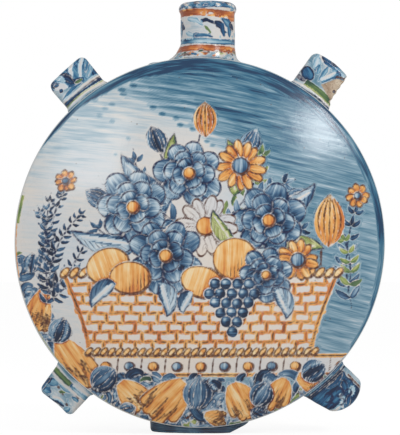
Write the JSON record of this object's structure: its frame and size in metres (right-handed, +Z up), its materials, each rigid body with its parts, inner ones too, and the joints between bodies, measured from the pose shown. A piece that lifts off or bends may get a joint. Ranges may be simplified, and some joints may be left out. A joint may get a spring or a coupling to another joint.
{
  "type": "pilgrim flask",
  "caption": "Round flattened drinking flask of tin-glazed earthenware, with a short neck, a low oval foot and pierced lugs on the rim for a carrying cord.",
  "frame": {"origin": "centre of the flat underside that the flask stands on, below the middle of the body", "axes": "+Z up along the neck, the front face looks towards -Y, +X to the viewer's right"},
  "size_m": [0.2576, 0.112, 0.3],
  "materials": {
    "front_glaze": "gloss, painted under or in the glaze",
    "back_glaze": "gloss, painted under or in the glaze",
    "neck_glaze": "gloss, painted under or in the glaze",
    "foot_glaze": "gloss, painted under or in the glaze",
    "lug_glaze": "gloss, painted under or in the glaze",
    "dark_lug_glaze": "gloss, painted under or in the glaze"
  },
  "bodies": {
    "root": {"front_shell": "front_glaze", "back_shell": "back_glaze", "neck": "neck_glaze", "foot_ring": "foot_glaze", "lug_upper_left": "lug_glaze", "lug_upper_right": "lug_glaze", "lug_lower_left": "lug_glaze", "lug_lower_right": "dark_lug_glaze"}
  },
  "joints": []
}
